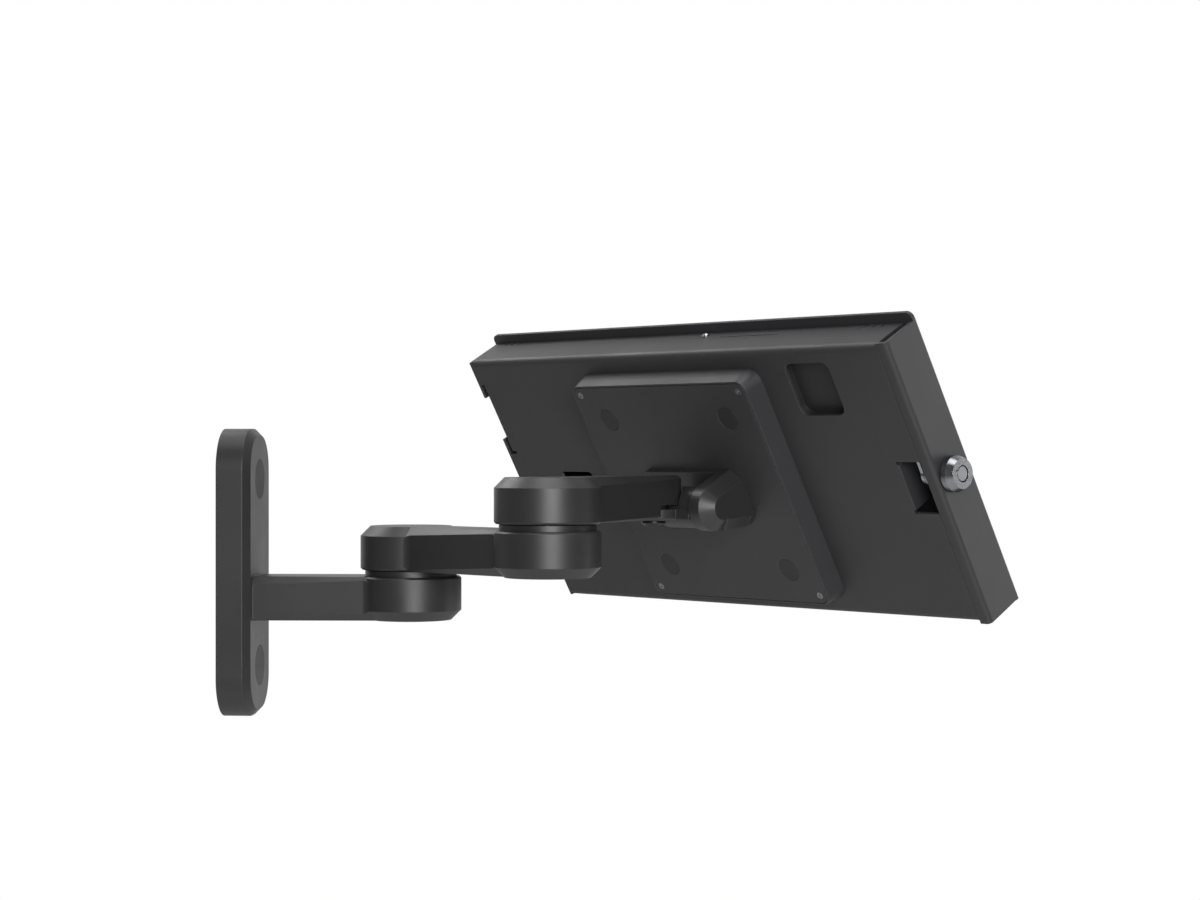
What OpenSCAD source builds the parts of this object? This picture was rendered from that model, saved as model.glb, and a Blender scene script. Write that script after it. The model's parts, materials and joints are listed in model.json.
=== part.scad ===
// Tablet wall mount: a wall bracket, two cast links stacked hub on hub, a
// swivelling and tilting head, and a lockable sheet-metal tablet enclosure.
// Millimetres. The origin is the centre of the wall plate's back face, +X
// points out of the wall and +Z points up.

/* [Wall bracket] */

// Width of the wall plate
plate_w = 40.4; // [36:0.1:48]
// Height of the wall plate
plate_l = 123; // [116:1:150]
// Thickness of the wall plate
plate_t = 14.3; // [13:0.1:18]
// Radius of the wall plate's corners
plate_r = 17.5; // [12:0.1:17.5]
// Bevel round the front of the wall plate
plate_bevel = 3; // [1:0.1:4]
// Spacing of the two wall screws
wall_pitch = 80; // [72:1:84]
// Diameter of the wall screw holes
wall_hole_d = 5.5; // [4.5:0.1:6.5]
// Diameter of the round caps over the wall screws
cap_d = 17; // [14:0.1:18]
// Thickness of those caps
cap_t = 2; // [1.5:0.1:3]
// Distance from the wall to the first pivot
stub_len = 80; // [72:1:110]

/* [Links] */

// Diameter of every pivot hub
hub_d = 43; // [40:0.5:50]
// Height of every link
link_h = 18.6; // [17:0.1:22]
// Gap between stacked hubs
hub_gap = 2.8; // [2:0.1:4]
// Bevel round the open end of a hub
hub_bevel = 4.2; // [2:0.1:5]
// Bevel that a link keeps at its thin end
thin_bevel = 0.8; // [0.4:0.1:1.5]
// Small break on a hub's facing edge
edge_break = 0.8; // [0.4:0.1:1.2]
// Width of a link between its hubs
link_w = 28; // [24:0.5:30]
// Fillet between a link's side and its hub
web_fillet = 5; // [3:0.5:8]
// Height of the lowest link's top face
stub_top = -1.3; // [-4:0.1:2]
// Length of the inner link between pivots
inner_len = 91.5; // [80:0.5:120]
// Rest angle of the inner link from the wall's normal
inner_ang = -44; // [-60:1:-30]
// Length of the outer link from the elbow to the wrist
outer_len = 91.5; // [85:0.5:130]
// Rest angle of the outer link from the wall's normal
outer_ang = 66.5; // [55:0.5:72]
// Diameter of the friction rings seen in the hub gaps
ring_d = 39; // [34:0.5:40]
// Diameter of the pivot bolts
pivot_d = 12; // [8:0.5:14]

/* [Wrist and tilt] */

// Radius of the outer link's nose over the wrist
nose_r = 12; // [11:0.1:12.5]
// Radius of the round boss under that nose
knuckle_r = 11.8; // [10:0.1:12]
// Length of the nose lug behind the wrist axis
lug_back = 16.4; // [14:0.1:18]
// Distance from the wrist axis to the tilt axis
wrist_back = 11.8; // [11.5:0.1:13]
// Height of the nose lug
nose_h = 12.6; // [11:0.1:13.5]
// Gap between the nose lug and the knuckle
wrist_gap = 2; // [1.6:0.1:2.4]
// Drop of the knuckle's underside below the outer link
knuckle_drop = 0.8; // [0.4:0.1:1.5]
// Diameter of the wrist bolt
wrist_d = 6; // [5:0.1:8]
// Diameter of the wrist bolt's head, seen from below
wrist_head_d = 10.6; // [9.6:0.1:12]
// Radius of the knuckle's barrel round the tilt axis
barrel_r = 9; // [8.6:0.1:9.4]
// Height of the tilt axis above the outer link's underside
tilt_rise = 4.8; // [4.4:0.1:5.2]
// Distance of the tilt axis behind the cover plate
tilt_back = 15.5; // [15:0.1:18]
// Distance of the tilt axis above the cover plate's centre
tilt_up = 2.6; // [1.5:0.1:3]
// Radius of the tilt ear's nose
ear_r = 10.1; // [9.6:0.1:10.4]
// Thickness of the tilt ear
ear_t = 11.2; // [10:0.1:12]
// Bevel round the outer face of the tilt ear
ear_bevel = 5; // [4:0.1:5.5]
// Diameter of the tilt pin
tilt_d = 4.8; // [4:0.1:5]
// Length of the bracket foot along the tilt axis
foot_w = 60.6; // [58:0.1:64]
// Height of the bracket foot
foot_l = 26.6; // [25:0.1:30]
// Thickness of the bracket foot
foot_t = 3; // [2.5:0.1:4]
// Cut corners of the bracket foot
foot_cut = 5; // [3:0.5:7]
// Spacing of the two screws in the bracket foot
foot_pitch = 36; // [32:0.5:38]
// Diameter of those screws
foot_screw_d = 4; // [3.5:0.1:5]

/* [Head pose] */

// Turn of the head about the vertical, from the wall's normal
head_yaw = -43.35; // [-46:0.05:-35]
// Lean of the screen back from the vertical
head_lean = 29.6; // [25:0.1:33]

/* [Adapter] */

// Side of the square cover plate
cover_w = 107.4; // [106:0.1:112]
// Thickness of the cover plate
cover_t = 1.5; // [1.2:0.1:2]
// Corner radius of the cover plate
cover_r = 4; // [3:0.1:6]
// Seam between the cover plate and its housing
seam = 0.3; // [0.2:0.05:0.5]
// Thickness of the adapter housing
adapter_t = 9; // [8:0.1:12]
// Wall of the housing outside the seam, at the cover
adapter_lip = 0.7; // [0.6:0.1:1.5]
// Flare of the housing from the cover to the tray
adapter_flare = 1.8; // [1:0.1:3]
// Spacing of the corner screws
screw_pitch = 100; // [99:0.1:101]
// Head diameter of the corner screws
screw_d = 3.2; // [2.6:0.1:3.6]
// Spacing of the round plugs
plug_pitch = 75; // [74:0.1:76]
// Diameter of the round plugs
plug_d = 10.6; // [9:0.1:12]

/* [Enclosure] */

// Length of the rear tray
tray_w = 258; // [250:1:280]
// Height of the rear tray
tray_h = 129.4; // [126:0.1:136]
// Sheet thickness
sheet = 1.5; // [1.2:0.1:2]
// Outer bend radius of the sheet
bend = 3; // [2.5:0.1:4]
// Depth of the enclosure from back to front
case_t = 20.6; // [19:0.1:26]
// Bend radius of the front cover's end
cap_bend = 2; // [1.8:0.1:2.2]
// Reach of the front plate above the tray
rim_top = 4.2; // [3:0.1:5]
// Reach of the front plate below the tray
rim_low = 0.6; // [0.5:0.1:2]
// Radius of the front plate's upper corners
rim_r = 3; // [1:0.1:3.5]
// Width of the lip that wraps the tray at the lock end
lip_w = 5.2; // [4:0.1:7]
// Side of the camera window
window = 24.4; // [18:0.1:30]
// Corner radius of the camera window
window_r = 4; // [2:0.1:6]
// Recess of the blank behind the camera window
blank_depth = 3; // [2:0.1:4]
// Thickness of the foam pads inside the tray
pad_t = 4; // [2:0.1:5]
// Width of the screen opening in the front plate
screen_w = 176; // [160:1:200]
// Height of the screen opening in the front plate
screen_h = 112; // [100:1:115]

/* [Lock] */

// Diameter of the lock's barrel outside the case
lock_d = 15; // [13:0.1:16]
// Distance the lock stands out of the case
lock_out = 6.5; // [5:0.1:9]
// Depth of the lock's axis behind the back of the tray
lock_depth = 8.6; // [8.4:0.1:9.6]
// Diameter of the lock's threaded tail
lock_tail_d = 10; // [9:0.1:10.4]
// Diameter of the turning core
core_d = 6.8; // [6:0.1:7.5]
// Width of the lock nut across its flats
nut_af = 12.6; // [12:0.1:12.8]

/* [Hidden] */

$fn = 72;
eps = 0.01;
big = 400;

black = [0.10, 0.10, 0.105];
dark = [0.06, 0.06, 0.065];
steel = [0.62, 0.63, 0.65];
zinc = [0.72, 0.72, 0.74];

// running clearance of a pin in its bore, and air between moving faces
run_fit = 0.05;
air = 0.3;

// levels of the three stacked links
pitch_z = link_h + hub_gap;
stub_z = stub_top - link_h;
inner_z = stub_z + pitch_z;
outer_z = inner_z + pitch_z;
hub_r = hub_d / 2;

// pivot positions
base_p = [stub_len, 0];
elbow_p = base_p + inner_len * [cos(inner_ang), sin(inner_ang)];
wrist_p = elbow_p + outer_len * [cos(outer_ang), sin(outer_ang)];
tilt_p = wrist_p + wrist_back * [-sin(head_yaw), cos(head_yaw)];
tilt_z = outer_z + tilt_rise;

// pivot hardware
bolt_head_r = pivot_d / 2 + 4;
bolt_head_t = 3;
spring_t = 1.4;
hub_cap_r = bolt_head_r + 2;
hub_cap_t = 1.6;
well_h = hub_cap_t + 0.8 + bolt_head_t + spring_t + air;
bolt_reach = link_h * 0.68;

// link side from the hub to the nose of the outer link
bar_end = nose_r - 0.25;
outer_taper = (link_w / 2 - bar_end) / outer_len;
nose_z = outer_z + link_h - nose_h;
knuckle_top = nose_z - wrist_gap;
knuckle_bot = outer_z - knuckle_drop;
washer_t = wrist_gap - air;
washer_r = 6.5;
wrist_head_t = 2;
wrist_reach = 8;

// tilt joint, in the head's own frame (x along the tilt axis, y up the back
// of the case, z out of the back, zero on the cover plate's face)
ear_x1 = foot_w / 2 + 0.9;
ear_x0 = ear_x1 - ear_t;
tilt_washer_t = 0.5;
barrel_x0 = -1;
barrel_x1 = ear_x0 - tilt_washer_t;
pin_x0 = nose_r - 2;
pin_x1 = ear_x1 - 3;
arm_y = -barrel_r - 0.4;
foot_head_d = foot_screw_d + 3.2;
foot_head_t = foot_screw_d * 0.4;
foot_x = ear_x1 - foot_w / 2;
foot_y = -0.6;

// adapter
cover_back = -cover_t;
tray_back = -adapter_t;
adapter_half = cover_w / 2 + seam + adapter_lip;
adapter_c = adapter_half - cover_r - seam - adapter_lip;

// enclosure
front_z = tray_back - case_t;
cap_in = front_z + sheet;
case_x1 = tray_w / 2 + sheet + 1;
tray_x1 = case_x1 - lip_w - 0.3;
tray_x0 = -tray_w / 2 - 0.7;
case_x0 = tray_x0 - air - sheet;
tray_front = cap_in + air;
cap_over = 0.4;
window_x = tray_w / 2 - 44.8;
window_y = tray_h / 2 - 19.2;
blank_t = blank_depth + 1;
cable_x = tray_x0 + 41.9;
blank_edge = 3;
pad_gap = 6;
pad_w = window_x - window / 2 - blank_edge - 2 * pad_gap;
pad_l = 10;
// recess at the free end, and the two lengths of flange beside it
recess_y0 = tray_h / 2 - 49.7;
recess_y1 = tray_h / 2 - 12.3;
recess_x = tray_x0 + 2.6;
rivet_x = 16;
line_z = tray_back - 14.3;
// sound slots
louvre_w = 1.2;
louvre_pitch = 4.5;
flange_y0 = tray_h / 2 - 41.9;
flange_y1 = tray_h / 2 - 19.4;

// lock
lock_z = tray_back - lock_depth;
lock_y = 1.2;
wall_x = case_x1;
tail_len = 10;
nut_t = 3;
cam_t = 1.5;
cam_len = 11;
cam_x = wall_x - tail_len - cam_t - air;
hook_z = lock_z - 4 - 1 - sheet;
notch_x = case_x1 - 18.5;
notch_y0 = lock_y - 14;
notch_y1 = lock_y + 10.2;

// box from one corner to the opposite corner
module span(a, b) {
  translate(a)
    cube(b - a);
}

// plate with round corners whose sides lean from radius r1 to radius r2
module drafted(cx, cy, h, r1, r2) {
  for (x = [-cx, cx])
    for (y = [-cy, cy])
      translate([x, y, 0])
        cylinder(h = h, r1 = r1, r2 = r2);
  rotate([90, 0, 90])
    translate([0, 0, -cx])
      linear_extrude(height = 2 * cx)
        polygon([[-cy - r1, 0], [cy + r1, 0], [cy + r2, h], [-cy - r2, h]]);
  rotate([90, 0, 0])
    translate([0, 0, -cy])
      linear_extrude(height = 2 * cy)
        polygon([[-cx - r1, 0], [cx + r1, 0], [cx + r2, h], [-cx - r2, h]]);
}

// hub turned about its own axis, bevelled at the top or at the bottom
module hub(z, bevel_top, bevel_bot) {
  translate([0, 0, z])
    rotate_extrude($fn = 96)
      polygon([
        [0, 0], [hub_r - bevel_bot, 0], [hub_r, bevel_bot],
        [hub_r, link_h - bevel_top], [hub_r - bevel_top, link_h], [0, link_h]
      ]);
}

// half space above the plane n . p = d
module half_space(n, d) {
  m = norm(n);
  rotate([0, acos(n[2] / m), atan2(n[1], n[0])])
    translate([-big, -big, d / m])
      cube([2 * big, 2 * big, big]);
}

// side fillets where a bar of half width w leaves a hub at the origin along +x
module web(z, w) {
  cx = sqrt(pow(hub_r + web_fillet, 2) - pow(w + web_fillet, 2));
  cy = w + web_fillet;
  k = hub_r / (hub_r + web_fillet);
  for (s = [-1, 1])
    difference() {
      translate([0, 0, z])
        linear_extrude(height = link_h)
          polygon([[0, 0], [k * cx, s * k * cy], [cx, s * cy], [cx, 0]]);
      translate([cx, s * cy, z - 1])
        cylinder(h = link_h + 2, r = web_fillet);
    }
}

// bevels along a bar from x = 0 to x = len: at the top from t0 to t1, at the
// bottom from b0 to b1; the side stands at w - m * x
module bar_bevels(z, len, w, m, t0, t1, b0, b1) {
  gt = (t1 - t0) / len;
  gb = (b1 - b0) / len;
  for (s = [-1, 1]) {
    half_space([m + gt, s, 1], z + link_h + w - t0);
    half_space([m + gb, s, -1], w - b0 - z);
  }
}

module at(p, ang = 0) {
  translate([p[0], p[1], 0])
    rotate([0, 0, ang])
      children();
}

// well for the pivot bolt's head under a hub, and the bolt's bore
module pivot_well(z) {
  translate([0, 0, z - eps])
    cylinder(h = hub_cap_t + eps, r = hub_cap_r + 0.15);
  translate([0, 0, z])
    cylinder(h = well_h, r = bolt_head_r + 0.5);
  translate([0, 0, z])
    cylinder(h = link_h + 1, r = pivot_d / 2 + run_fit);
}

// blind bore that takes the end of the pivot bolt in the hub above
module pivot_socket(z) {
  translate([0, 0, z - 1])
    cylinder(h = bolt_reach + 1.5, r = pivot_d / 2 + run_fit);
}

module pivot_bolt(z) {
  head_z = z + well_h - air - spring_t - bolt_head_t;
  color(steel) {
    difference() {
      translate([0, 0, head_z])
        cylinder(h = bolt_head_t, r = bolt_head_r);
      translate([0, 0, head_z - eps])
        cylinder(h = 2, r = 4, $fn = 6);
    }
    translate([0, 0, head_z + bolt_head_t - eps])
      cylinder(h = z + pitch_z + bolt_reach - head_z - bolt_head_t - 1 + eps, r = pivot_d / 2);
    translate([0, 0, z + pitch_z + bolt_reach - 1 - eps])
      cylinder(h = 1, r1 = pivot_d / 2, r2 = pivot_d / 2 - 1);
  }
}

module spring_washer(z) {
  color(zinc)
    translate([0, 0, z + well_h - air - spring_t])
      difference() {
        cylinder(h = spring_t, r = bolt_head_r - 0.3);
        translate([0, 0, -1])
          cylinder(h = spring_t + 2, r = pivot_d / 2 + run_fit);
      }
}

module friction_ring(z) {
  color(dark)
    translate([0, 0, z + link_h])
      difference() {
        cylinder(h = hub_gap - air, r = ring_d / 2);
        translate([0, 0, -1])
          cylinder(h = hub_gap + 2, r = pivot_d / 2 + run_fit);
      }
}

module hub_cap(z) {
  color(black)
    translate([0, 0, z])
      cylinder(h = hub_cap_t, r = hub_cap_r);
}

// place a piece drawn in the head's own frame
module in_head() {
  translate([tilt_p[0], tilt_p[1], tilt_z])
    rotate([0, 0, head_yaw])
      rotate([90 + head_lean, 0, 0])
        translate([0, -tilt_up, -tilt_back])
          children();
}

// place a piece drawn about the tilt axis, x along it and z up
module at_tilt() {
  translate([tilt_p[0], tilt_p[1], tilt_z])
    rotate([0, 0, head_yaw])
      children();
}

module along_x(x, y, z) {
  translate([x, y, z])
    rotate([0, 90, 0])
      children();
}

module wall_bracket() {
  c = plate_bevel;
  color(black)
    difference() {
      union() {
        rotate([0, 90, 0]) {
          drafted(plate_l / 2 - plate_r, plate_w / 2 - plate_r, plate_t - c, plate_r, plate_r);
          translate([0, 0, plate_t - c])
            drafted(plate_l / 2 - plate_r, plate_w / 2 - plate_r, c, plate_r, plate_r - c);
        }
        difference() {
          union() {
            span([plate_t - 1, -link_w / 2, stub_z], [stub_len, link_w / 2, stub_top]);
            at(base_p, 180)
              web(stub_z, link_w / 2);
          }
          translate([plate_t, 0, 0])
            bar_bevels(stub_z, stub_len - plate_t, link_w / 2, 0, 3.4, thin_bevel, 0, hub_bevel);
        }
        at(base_p)
          hub(stub_z, edge_break, hub_bevel);
      }
      at(base_p)
        pivot_well(stub_z);
      for (s = [-1, 1]) {
        along_x(-1, 0, s * wall_pitch / 2)
          cylinder(h = plate_t + 2, d = wall_hole_d);
        along_x(4.5, 0, s * wall_pitch / 2)
          cylinder(h = plate_t, r = 5.5);
        along_x(plate_t - cap_t, 0, s * wall_pitch / 2)
          cylinder(h = cap_t + 1, d = cap_d + 0.3);
      }
    }
}

module screw_cap(s) {
  color(black)
    along_x(plate_t - cap_t, 0, s * wall_pitch / 2)
      difference() {
        cylinder(h = cap_t, d = cap_d);
        translate([0, 0, -eps])
          cylinder(h = 0.8, r = 4);
      }
}

module upper_screw_cap() screw_cap(1);

module lower_screw_cap() screw_cap(-1);

module base_pivot_bolt() at(base_p) pivot_bolt(stub_z);

module base_spring_washer() at(base_p) spring_washer(stub_z);

module base_friction_ring() at(base_p) friction_ring(stub_z);

module base_hub_cap() at(base_p) hub_cap(stub_z);

module inner_link() {
  w = link_w / 2;
  color(black)
    at(base_p, inner_ang)
      difference() {
        union() {
          difference() {
            union() {
              span([0, -w, inner_z], [inner_len, w, inner_z + link_h]);
              web(inner_z, w);
              translate([inner_len, 0, 0])
                rotate([0, 0, 180])
                  web(inner_z, w);
            }
            bar_bevels(inner_z, inner_len, w, 0, hub_bevel, thin_bevel, 0, hub_bevel);
          }
          hub(inner_z, hub_bevel, edge_break);
          translate([inner_len, 0, 0])
            hub(inner_z, edge_break, hub_bevel);
        }
        pivot_socket(inner_z);
        translate([inner_len, 0, 0])
          pivot_well(inner_z);
      }
}

module elbow_pivot_bolt() at(elbow_p) pivot_bolt(inner_z);

module elbow_spring_washer() at(elbow_p) spring_washer(inner_z);

module elbow_friction_ring() at(elbow_p) friction_ring(inner_z);

module elbow_hub_cap() at(elbow_p) hub_cap(inner_z);

module outer_link() {
  w = link_w / 2;
  top = outer_z + link_h;
  color(black)
    at(elbow_p, outer_ang)
      difference() {
        union() {
          difference() {
            union() {
              translate([0, 0, outer_z])
                linear_extrude(height = link_h)
                  polygon([[0, -w], [outer_len, -bar_end], [outer_len, bar_end], [0, w]]);
              web(outer_z, w);
            }
            bar_bevels(outer_z, outer_len, w, outer_taper, hub_bevel, 1.6, 0, 1.6);
          }
          hub(outer_z, hub_bevel, edge_break);
          translate([outer_len, 0, outer_z]) {
            cylinder(h = link_h - 1.6, r = nose_r);
            translate([0, 0, link_h - 1.6])
              cylinder(h = 1.6, r1 = nose_r, r2 = nose_r - 1.6);
          }
        }
        pivot_socket(outer_z);
        span([outer_len - lug_back, -hub_r, outer_z - 1], [outer_len + hub_r, hub_r, nose_z]);
        translate([outer_len, 0, outer_z])
          cylinder(h = link_h - nose_h + wrist_reach + 0.5, r = wrist_d / 2 + run_fit);
      }
}

// bolt from below: its head shows under the knuckle's boss
module wrist_bolt() {
  color(dark)
    at(wrist_p)
      translate([0, 0, knuckle_bot - air])
        difference() {
          union() {
            cylinder(h = nose_z + wrist_reach - knuckle_bot + air, r = wrist_d / 2);
            translate([0, 0, -0.9])
              cylinder(h = 0.9, d = wrist_head_d);
            translate([0, 0, -wrist_head_t])
              cylinder(h = wrist_head_t - 0.9 + eps, d1 = wrist_head_d - 3, d2 = wrist_head_d);
          }
          translate([0, 0, -wrist_head_t - 1])
            cylinder(h = 2.6, r = 1.8, $fn = 6);
        }
}

module wrist_washer() {
  color(dark)
    at(wrist_p)
      translate([0, 0, knuckle_top])
        difference() {
          cylinder(h = washer_t, r = washer_r);
          translate([0, 0, -1])
            cylinder(h = washer_t + 2, r = wrist_d / 2 + run_fit);
        }
}

module swivel_knuckle() {
  c = 1;
  h = knuckle_top - knuckle_bot;
  color(black)
    difference() {
      union() {
        at(wrist_p) {
          translate([0, 0, knuckle_bot])
            cylinder(h = c, r1 = knuckle_r - c, r2 = knuckle_r);
          translate([0, 0, knuckle_bot + c])
            cylinder(h = h - c, r = knuckle_r);
        }
        at_tilt() {
          along_x(barrel_x0, 0, 0)
            cylinder(h = barrel_x1 - barrel_x0, r = barrel_r);
          // flat arm from the boss to the barrel's end
          span([0, arm_y, knuckle_bot + 0.6 - tilt_z], [barrel_x1, -1.5, knuckle_top - tilt_z]);
        }
      }
      at(wrist_p) {
        translate([0, 0, knuckle_top])
          cylinder(h = 10, r = washer_r + 0.5);
        // room for the link's nose as the head swivels
        translate([0, 0, nose_z - 0.4])
          cylinder(h = 30, r = nose_r + 1);
        translate([0, 0, knuckle_bot - 8])
          cylinder(h = h + 10, r = wrist_d / 2 + run_fit);
        // shallow seat for the bolt's head, which also flattens the barrel beside it
        translate([0, 0, knuckle_bot - 9])
          cylinder(h = 9.4, r = wrist_head_d / 2 + 0.4);
      }
      at_tilt()
        along_x(pin_x0 - 0.3, 0, 0)
          cylinder(h = 20, r = tilt_d / 2 + run_fit);
    }
}

// plan of the tilt ear: its nose and the two sides that run down to the foot
module ear_side(x) {
  a = atan2(tilt_back - foot_t, tilt_up - foot_y + foot_l / 2);
  d = norm([tilt_back - foot_t, tilt_up - foot_y + foot_l / 2]);
  b = a + asin(ear_r / d);
  low = foot_y - foot_l / 2;
  translate([x, 0, 0])
    rotate([90, 0, 90])
      linear_extrude(height = ear_t)
        polygon([
          [low, 0], [tilt_up + ear_r, 0], [tilt_up + ear_r, tilt_back],
          [tilt_up, tilt_back],
          [tilt_up - ear_r * sin(b), tilt_back + ear_r * cos(b)],
          [low, foot_t]
        ]);
}

module tilt_bracket() {
  d = norm([tilt_back - foot_t, tilt_up - foot_y + foot_l / 2]);
  a = atan2(tilt_back - foot_t, tilt_up - foot_y + foot_l / 2) + asin(ear_r / d);
  low = foot_y - foot_l / 2;
  hw = foot_w / 2;
  hl = foot_l / 2;
  k = foot_cut;
  color(black)
    in_head()
      difference() {
        union() {
          translate([foot_x, foot_y, 0])
            linear_extrude(height = foot_t)
              polygon([
                [-hw + k, -hl], [hw - k, -hl], [hw, -hl + k], [hw, hl - k],
                [hw - k, hl], [-hw + k, hl], [-hw, hl - k], [-hw, -hl + k]
              ]);
          difference() {
            union() {
              ear_side(ear_x0);
              along_x(ear_x0, tilt_up, tilt_back)
                cylinder(h = ear_t, r = ear_r);
            }
            // bevel round the outer face: nose, upper side, lower side
            along_x(ear_x1 - ear_bevel, tilt_up, tilt_back)
              difference() {
                cylinder(h = ear_bevel + 1, r = ear_r + 3);
                translate([0, 0, -eps])
                  cylinder(h = ear_bevel + 1 + 2 * eps, r1 = ear_r + eps, r2 = ear_r - ear_bevel - 1);
                translate([0, -20, -1])
                  cube([tilt_back + 20, 40, ear_bevel + 3]);
              }
            half_space([1, 1, 0], ear_x1 + tilt_up + ear_r - ear_bevel);
            translate([ear_x1, low, foot_t])
              half_space([1, -sin(a), cos(a)], -ear_bevel);
          }
        }
        along_x(ear_x0 - 1, tilt_up, tilt_back)
          cylinder(h = pin_x1 - ear_x0 + 1.3, r = tilt_d / 2 + run_fit);
        for (x = [-1, 1])
          translate([foot_x + x * foot_pitch / 2, foot_y, -1])
            cylinder(h = foot_t, r = foot_screw_d / 2 + run_fit);
      }
}

module tilt_pin() {
  color(steel)
    in_head()
      along_x(pin_x0, tilt_up, tilt_back)
        cylinder(h = pin_x1 - pin_x0, r = tilt_d / 2);
}

module tilt_washer() {
  color(dark)
    in_head()
      along_x(barrel_x1 + air, tilt_up, tilt_back)
        difference() {
          cylinder(h = tilt_washer_t - air, r = ear_r - 1);
          translate([0, 0, -1])
            cylinder(h = tilt_washer_t + 2, r = tilt_d / 2 + run_fit);
        }
}

// screws from inside the cover plate that hold the bracket's foot
module bracket_screws() {
  color(zinc)
    in_head()
      for (x = [-1, 1])
        translate([foot_x + x * foot_pitch / 2, foot_y, cover_back - foot_head_t]) {
          cylinder(h = foot_head_t + cover_t + foot_t / 2, d = foot_screw_d);
          cylinder(h = foot_head_t, d = foot_head_d);
        }
}

module grid(p) {
  for (x = [-1, 1])
    for (y = [-1, 1])
      translate([x * p / 2, y * p / 2, 0])
        children();
}

module adapter_cover() {
  color(black)
    in_head()
      difference() {
        translate([0, 0, cover_back])
          drafted(cover_w / 2 - cover_r, cover_w / 2 - cover_r, cover_t, cover_r, cover_r);
        grid(screw_pitch)
          translate([0, 0, cover_back - 1])
            cylinder(h = cover_t + 2, d = screw_d + 0.2);
        grid(plug_pitch)
          translate([0, 0, cover_back - 1])
            cylinder(h = cover_t + 2, d = plug_d + 0.3);
        for (x = [-1, 1])
          translate([foot_x + x * foot_pitch / 2, foot_y, cover_back - 1])
            cylinder(h = cover_t + 2, r = foot_screw_d / 2 + run_fit);
      }
}

module adapter_housing() {
  r = cover_r + seam + adapter_lip;
  pocket = cover_w / 2 + seam - cover_r - seam;
  color(black)
    in_head()
      difference() {
        translate([0, 0, tray_back])
          drafted(adapter_c, adapter_c, adapter_t, r + adapter_flare, r);
        translate([0, 0, cover_back])
          drafted(pocket, pocket, cover_t + 1, cover_r + seam, cover_r + seam);
        for (x = [-1, 1])
          translate([foot_x + x * foot_pitch / 2, foot_y, cover_back - foot_head_t - 0.4])
            cylinder(h = foot_head_t + 1.4, d = foot_head_d + 1.2);
        grid(screw_pitch)
          translate([0, 0, cover_back - 5])
            cylinder(h = 6, r = 1 + run_fit);
      }
}

module cover_screws() {
  color(dark)
    in_head()
      grid(screw_pitch) {
        difference() {
          translate([0, 0, cover_back])
            cylinder(h = cover_t - 0.1, d = screw_d, $fn = 32);
          translate([0, 0, -0.7])
            cylinder(h = 1, r = 0.7, $fn = 6);
        }
        translate([0, 0, cover_back - 4])
          cylinder(h = 4 + eps, r = 1, $fn = 24);
      }
}

module hole_plugs() {
  color(black)
    in_head()
      grid(plug_pitch)
        translate([0, 0, cover_back])
          cylinder(h = cover_t, d = plug_d);
}

// quarter ring of a sheet bent to outer radius r, along x
module fold(x0, x1, y, z, sy, sz, r) {
  translate([x0, y, z])
    rotate([0, 90, 0])
      intersection() {
        difference() {
          cylinder(h = x1 - x0, r = r);
          translate([0, 0, -1])
            cylinder(h = x1 - x0 + 2, r = r - sheet);
        }
        translate([sz > 0 ? -r - 1 : 0, sy > 0 ? 0 : -r - 1, -1])
          cube([r + 1, r + 1, x1 - x0 + 2]);
      }
}

// a sound slot in the front edge of the tray's top or bottom wall
module louvre(x, s) {
  translate([x, s * tray_h / 2, tray_front + 1.3])
    cube([louvre_w, 3 * sheet, 2.6 + 2 * eps], center = true);
}

module rear_tray() {
  h = tray_h / 2;
  color(black)
    in_head()
      difference() {
        union() {
          span([tray_x0, -h + bend, tray_back - sheet], [tray_x1, h - bend, tray_back]);
          for (s = [-1, 1]) {
            fold(tray_x0, tray_x1, s * (h - bend), tray_back - bend, s, 1, bend);
            translate([0, s * (h - sheet / 2), 0])
              span([tray_x0, -sheet / 2, tray_front], [tray_x1, sheet / 2, tray_back - bend]);
          }
          // strip turned inward beside the lock, with a foot that stops the
          // lock's arm from coming forward
          span([notch_x, notch_y0 + 1.5, hook_z], [notch_x + sheet, notch_y1 - 1.5, tray_back]);
          span([notch_x, notch_y1 - 7.5, hook_z], [cam_x + cam_t + 1.5, notch_y1 - 1.5, hook_z + sheet]);
        }
        translate([window_x, window_y, tray_back - sheet - 1])
          drafted(window / 2 - window_r, window / 2 - window_r, sheet + 2, window_r, window_r);
        // cable opening behind the elbow
        translate([cable_x, 0, tray_back - sheet - 1])
          drafted(8.8, 3.5, sheet + 2, 2, 2);
        // notch beside the lock
        span([notch_x + sheet, notch_y0, tray_back - sheet - 1], [case_x1, notch_y1, tray_back + 1]);
        for (y = [notch_y0, notch_y1 - 1.5])
          span([notch_x, y, tray_back - sheet - 1], [case_x1, y + 1.5, tray_back + 1]);
        // recess at the free end, with a small hook slot at its foot
        span([tray_x0 - 1, recess_y0, tray_back - sheet - 1], [recess_x, recess_y1, tray_back + 1]);
        span([recess_x - 1, recess_y0, tray_back - sheet - 1], [recess_x + 2.4, recess_y0 + 1.6, tray_back + 1]);
        for (s = [-1, 1])
          for (i = [0:2]) {
            louvre(tray_x0 + 8.9 + i * louvre_pitch, s);
            louvre(case_x1 - 24.3 + i * louvre_pitch, s);
          }
        // scribed line beside the rivet
        span([rivet_x + 10, h - 0.4, line_z], [rivet_x + 45, h + 1, line_z + 0.5]);
      }
}

module tray_rivet() {
  color(steel)
    in_head()
      translate([rivet_x, tray_h / 2, tray_back - 15.5])
        rotate([-90, 0, 0]) {
          cylinder(h = 0.7, r = 1.5, $fn = 32);
          translate([0, 0, 0.7 - eps])
            cylinder(h = 0.5, r1 = 1.5, r2 = 0.9, $fn = 32);
        }
}

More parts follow.
